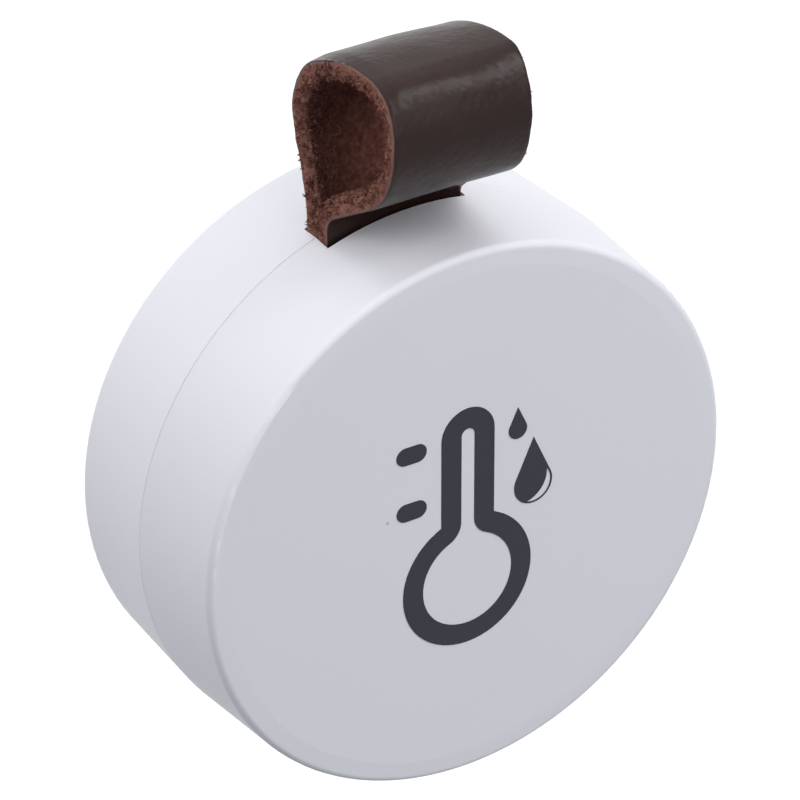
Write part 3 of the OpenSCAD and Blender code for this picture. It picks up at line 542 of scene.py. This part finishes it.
def punchHoles(strip):
    # closed ends, and the two holes through both layers that the pegs in the case go through
    deselectAll()
    strip.select_set(True)
    bpy.context.view_layer.objects.active = strip
    bpy.ops.object.mode_set(mode="EDIT")
    selectAllVerts()
    bpy.ops.mesh.fill_holes(sides=0)
    for x, side in ((x, side) for x in strap["pegX"] for side in (-1, 1)):
        centre = Vector((x * mm, 0, strap["pegZ"] * mm))
        bpy.ops.mesh.select_mode(type="FACE")
        bpy.ops.mesh.select_all(action="DESELECT")
        bpy.ops.object.mode_set(mode="OBJECT")
        for face in strip.data.polygons:
            reach = (face.center - centre).xz.length
            face.select = reach < strap["pegHoleR"] * mm and side * (face.center.y - case["seamY"]) > 0
        bpy.ops.object.mode_set(mode="EDIT")
        bpy.ops.mesh.delete(type="FACE")
        bpy.ops.mesh.select_mode(type="EDGE")
        bpy.ops.mesh.select_non_manifold(extend=False, use_wire=False, use_multi_face=False,
                                         use_non_contiguous=False, use_verts=False)
        bpy.ops.object.mode_set(mode="OBJECT")
        for vertex in strip.data.vertices:
            if vertex.select:
                ray = (vertex.co - centre).xz.normalized() * strap["pegHoleR"] * mm
                vertex.co.x, vertex.co.z = centre.x + ray.x, centre.z + ray.y
        bpy.ops.object.mode_set(mode="EDIT")
        bpy.ops.mesh.bridge_edge_loops()
    selectAllVerts()
    bpy.ops.mesh.normals_make_consistent(inside=False)
    bpy.ops.object.mode_set(mode="OBJECT")


roughen(stripObject, laneCount)
wrapGrain(stripObject)
punchHoles(stripObject)


def leatherBrown():
    # smooth dark grain outside, furry reddish flesh side and cut edges
    look = {"grainDark": (0.022, 0.0108, 0.009), "grainLight": (0.03, 0.0152, 0.0133),
            "fleshDark": (0.1, 0.0375, 0.0285), "fleshLight": (0.265, 0.109, 0.082),
            "cutAndHighlightDark": (0.16, 0.066, 0.05), "cutAndHighlightLight": (0.385, 0.185, 0.14), "rim": (0.26, 0.165, 0.14),
            "relief": 0.035 * mm,
            "tone": 260, "pebble": 2300, "crease": 900, "fur": 3300, "tuft": 1500}  # features in a metre
    finish, tree, shader, place = startFinish("leatherBrown", look["grainDark"], 0.45)
    shader.inputs["Specular IOR Level"].default_value = 0.13
    layer = tree.nodes.new("ShaderNodeAttribute")
    layer.attribute_name = "depth"
    grain = remap(tree, layer.outputs["Fac"], 0.95, 0.995, smooth=True)
    tone = cloudy(tree, place, look["tone"], 4)
    pebble = cells(tree, place, look["pebble"], "SMOOTH_F1")
    crease = cloudy(tree, place, look["crease"], 4)
    fur = cloudy(tree, place, look["fur"], 5, 0.65)
    tuft = cloudy(tree, place, look["tuft"], 3)
    grainColour = tint(tree, remap(tree, tone, 0.3, 0.7), look["grainDark"], look["grainLight"])
    mottle = combine(tree, "ADD", combine(tree, "MULTIPLY", fur, 0.7), combine(tree, "MULTIPLY", tuft, 0.3))
    patch = remap(tree, mottle, 0.36, 0.64)
    fleshColour = tint(tree, patch, look["fleshDark"], look["fleshLight"])
    # the cut edges and the fluff beside them are painted paler than the rough side: partly the paler cut itself,
    # partly a painted highlight of the edge ring catching light that leaves the inside of the loop in shade
    side = tree.nodes.new("ShaderNodeAttribute")
    side.attribute_name = "across"
    fromMiddle = combine(tree, "ABSOLUTE", combine(tree, "SUBTRACT", side.outputs["Fac"], 0.5), 0)
    ragged = combine(tree, "ADD", fromMiddle, remap(tree, tuft, 0.3, 0.7, -0.03, 0.03))
    fleshColour = tint(tree, remap(tree, ragged, 0.44, 0.5, smooth=True), fleshColour,
                       tint(tree, patch, look["cutAndHighlightDark"], look["cutAndHighlightLight"]))
    skin = combine(tree, "MULTIPLY", remap(tree, layer.outputs["Fac"], 0.82, 0.92, smooth=True), 0.6)
    fleshColour = tint(tree, skin, fleshColour, look["rim"])
    tree.links.new(tint(tree, grain, fleshColour, grainColour), shader.inputs["Base Color"])
    glossy = remap(tree, crease, 0.3, 0.7, 0.26, 0.34)
    flat = remap(tree, grain, 0, 1, 0.95, 0)
    rough = combine(tree, "ADD", flat, combine(tree, "MULTIPLY", glossy, grain))
    tree.links.new(rough, shader.inputs["Roughness"])
    grainHeight = combine(tree, "ADD", combine(tree, "MULTIPLY", pebble.outputs["Distance"], 0.6), crease)
    fleshHeight = combine(tree, "MULTIPLY", fur, 5.0)
    both = combine(tree, "ADD", combine(tree, "MULTIPLY", grainHeight, grain),
                   combine(tree, "MULTIPLY", fleshHeight, remap(tree, grain, 0, 1, 1, 0)))
    raised(tree, shader, both, look["relief"])
    return finish


stripObject.data.materials.append(leatherBrown())
for face in stripObject.data.polygons:
    face.use_smooth = True
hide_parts("strap_loop", "strap_tail")
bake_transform(stripObject)
print("leather strip done")

# fluff on the cut edges and on the rough side near them: small tufts of tapering locks
fluff = {
    "tufts": 1700, "patterns": 6, "locks": 7, "spread": 0.22, "thick": 0.046, "tip": 0.016,
    "short": 0.1, "long": 0.26, "bendAt": 0.45, "curl": 0.9, "seed": 7, "wholeTurn": 6.28,
    "nearEnd": 2.6, "edge": 0.02, "edgeShare": 1.3, "grainFrom": 0.8, "stray": 0.3, "sizes": (0.8, 1.2),
    "sink": 0.04, "frayed": 1.9, "frayedShare": 0.3, "frayedFacing": -0.5,
    "lowestLeft": 19.15, "lowestRight": 20.0, "pressedZ": 22.0, "pressedIn": 0.3,
}


def oneLock(length):
    deselectAll()
    bpy.ops.mesh.primitive_cone_add(vertices=3, radius1=fluff["thick"] * mm, radius2=fluff["tip"] * mm,
                                    depth=length * mm, location=(0, 0, 0.5 * length * mm), end_fill_type="NOTHING")
    lock = bpy.context.object
    bpy.ops.object.transform_apply(location=True)
    bpy.ops.object.mode_set(mode="EDIT")
    selectAllVerts()
    bpy.ops.mesh.bisect(plane_co=(0, 0, fluff["bendAt"] * length * mm), plane_no=(0, 0, 1), threshold=0.001 * mm)
    bpy.ops.object.mode_set(mode="OBJECT")
    for vertex in lock.data.vertices:
        vertex.co.x += fluff["curl"] * vertex.co.z * vertex.co.z / mm
    return lock


def joined(things, name):
    deselectAll()
    for thing in things:
        thing.select_set(True)
    bpy.context.view_layer.objects.active = things[0]
    bpy.ops.object.join()
    things[0].name = name
    return things[0]


def oneTuft(draw):
    locks = []
    for _ in range(fluff["locks"]):
        lock = oneLock(draw.uniform(fluff["short"], fluff["long"]))
        lean = Quaternion((draw.gauss(0, 1), draw.gauss(0, 1), 0), draw.gauss(0, 0.5))
        foot = Vector((draw.gauss(0, 0.5), draw.gauss(0, 0.5), 0)) * fluff["spread"] * mm
        turn = Quaternion((0, 0, 1), draw.uniform(0, fluff["wholeTurn"]))
        lock.data.transform(Matrix.LocRotScale(foot, lean @ turn, None))
        locks.append(lock)
    return joined(locks, "tuft")


def growFluff(strip):
    draw = random.Random(fluff["seed"])
    mesh = strip.data
    across = mesh.attributes["across"].data
    depth = mesh.attributes["depth"].data
    roots, weights = [], []
    # sorted by their points, because the order of the faces is not the same each run
    for face in sorted(mesh.polygons, key=lambda one: sorted(one.vertices)):
        if len(face.vertices) != 4:
            continue
        ends = sorted(face.vertices)
        corners = [mesh.vertices[v].co for v in ends]
        middle = sum(corners, Vector()) / 4
        where = sum(across[v].value for v in ends) / 4
        layer = sum(depth[v].value for v in ends) / 4
        lowest = fluff["lowestLeft"] if where < 0.5 else fluff["lowestRight"]
        fromEnd = min(where, 1 - where) * strap["width"]
        # the two layers touch here
        pressed = fromEnd > fluff["pressedIn"] and middle.z < fluff["pressedZ"] * mm
        if layer > fluff["grainFrom"] or middle.z < lowest * mm or pressed or fromEnd > fluff["nearEnd"]:
            continue
        facing = (corners[1] - corners[0]).cross(corners[2] - corners[0])
        share = fluff["edgeShare"] if fromEnd < fluff["edge"] else 1 - fromEnd / fluff["nearEnd"]
        weights.append(facing.length * share)
        facing = facing if facing.dot(face.normal) > 0 else -facing
        roots.append((corners, middle, facing.normalized()))
    patterns = [oneTuft(draw) for _ in range(fluff["patterns"])]
    grown = []
    for corners, middle, facing in draw.choices(roots, weights, k=fluff["tufts"]):
        blendU, blendV = draw.random(), draw.random()
        root = corners[0].lerp(corners[1], blendU).lerp(corners[2].lerp(corners[3], blendU), blendV)
        stray = Vector((draw.gauss(0, 1), draw.gauss(0, 1), draw.gauss(0, 1)))
        toward = (facing + fluff["stray"] * stray).normalized()
        pattern = draw.choice(patterns)
        one = pattern.copy()
        one.data = pattern.data.copy()
        bpy.context.scene.collection.objects.link(one)
        turn = toward.to_track_quat("Z", "Y") @ Quaternion((0, 0, 1), draw.uniform(0, fluff["wholeTurn"]))
        size, frayed = draw.uniform(*fluff["sizes"]), draw.random() < fluff["frayedShare"]
        if frayed and middle.z < fluff["pressedZ"] * mm and facing.x < fluff["frayedFacing"]:
            size *= fluff["frayed"]
        foot = root - toward * fluff["sink"] * mm
        one.data.transform(Matrix.LocRotScale(foot, turn, Vector((1, 1, size))))
        grown.append(one)
    for pattern in patterns:
        bpy.data.objects.remove(pattern)
    return joined(grown, "leatherFluff")


def fluffBrown():
    look = {"dark": (0.15, 0.062, 0.047), "light": (0.42, 0.2, 0.15)}
    finish, tree, shader, place = startFinish("fluffBrown", look["light"], 0.95)
    shader.inputs["Specular IOR Level"].default_value = 0.1
    shade = cloudy(tree, place, 2200, 3)
    colour = tint(tree, remap(tree, shade, 0.36, 0.64), look["dark"], look["light"])
    tree.links.new(colour, shader.inputs["Base Color"])
    tree.links.new(remap(tree, shade, 0.3, 0.7, 0.85, 1.0), shader.inputs["Roughness"])
    return finish


fluffObject = growFluff(stripObject)
fluffObject.data.materials.clear()
fluffObject.data.materials.append(fluffBrown())
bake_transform(fluffObject)
print("fluff grown:", len(fluffObject.data.polygons), "faces")

# snap spring under the pairing button
spring = {"flatR": 0.233, "thick": 0.08, "points": 40, "press": 0.25, "sharp": 35}


def snapSpring():
    low, high = (Vector(corner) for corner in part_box("switch_dome"))
    middle = (low + high) / 2
    tall = high.y - low.y
    thick = spring["thick"] * mm
    wider = (high.x - low.x) / (2 * spring["flatR"] * mm)
    deselectAll()
    bpy.ops.mesh.primitive_circle_add(vertices=spring["points"], radius=spring["flatR"] * mm, fill_type="NGON",
                                      location=(0, 0, 0), rotation=(math.pi / 2, 0, 0))
    dome = bpy.context.object
    dome.name = "snapSpring"
    bpy.ops.object.transform_apply(rotation=True)
    bpy.ops.object.mode_set(mode="EDIT")
    bpy.ops.mesh.select_mode(type="EDGE")
    selectAllVerts()
    bpy.ops.mesh.extrude_edges_move(TRANSFORM_OT_translate={"value": (0, thick - tall, 0)})
    bpy.ops.transform.resize(value=(wider, 1, wider), center_override=(0, 0, 0))
    selectAllVerts()
    bpy.ops.mesh.extrude_region_move(TRANSFORM_OT_translate={"value": (0, -thick, 0)})
    selectAllVerts()
    bpy.ops.transform.translate(value=(middle.x, high.y, middle.z))
    bpy.ops.mesh.normals_make_consistent(inside=False)
    bpy.ops.object.mode_set(mode="OBJECT")
    bpy.ops.object.shade_smooth_by_angle(angle=math.radians(spring["sharp"]))
    dome.data.materials.append(finishes["switch_metal"])
    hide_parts("switch_dome")
    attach(dome, "case")
    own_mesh(dome)
    return dome


springObject = snapSpring()
print("snap spring:", len(springObject.data.polygons), "faces")
